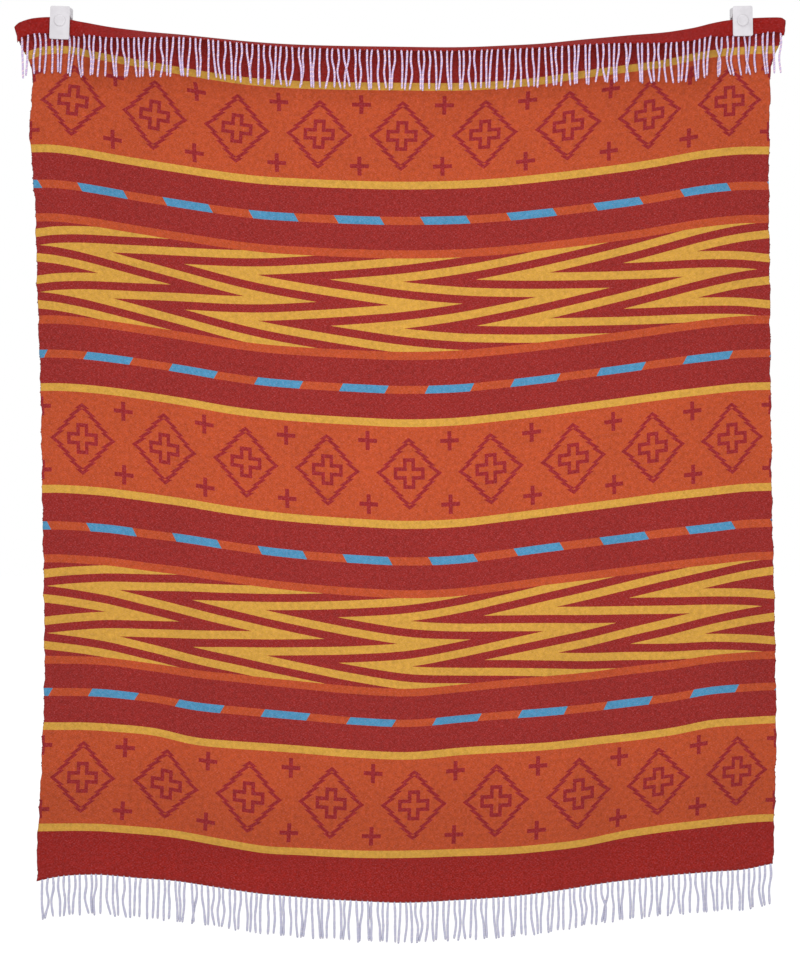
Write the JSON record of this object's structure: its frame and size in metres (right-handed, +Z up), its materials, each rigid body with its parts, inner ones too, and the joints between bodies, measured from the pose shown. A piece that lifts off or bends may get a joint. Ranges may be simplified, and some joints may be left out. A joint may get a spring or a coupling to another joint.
{
  "type": "throw blanket with two hanging clips",
  "caption": "Woven throw blanket with a warm banded pattern and fringed ends, hung by its top corners from clips, its top end turned over to the front.",
  "frame": {"origin": "on the wall, midway between the two clips and level with their middles", "axes": "+X to the right across the cloth, +Y into the wall, +Z up; the face of the cloth looks along -Y"},
  "size_m": [1.3276, 0.0613, 1.6176],
  "materials": {
    "woven_cloth": "soft brushed weave",
    "fringe_yarn": "twisted yarn",
    "clip_plastic": "satin"
  },
  "bodies": {
    "root": {"cloth": "woven_cloth", "fringe_top": "fringe_yarn", "fringe_bottom": "fringe_yarn", "clip_left_back": "clip_plastic", "clip_left_jaw": "clip_plastic", "clip_left_pin": "clip_plastic", "clip_right_back": "clip_plastic", "clip_right_jaw": "clip_plastic", "clip_right_pin": "clip_plastic"}
  },
  "joints": []
}
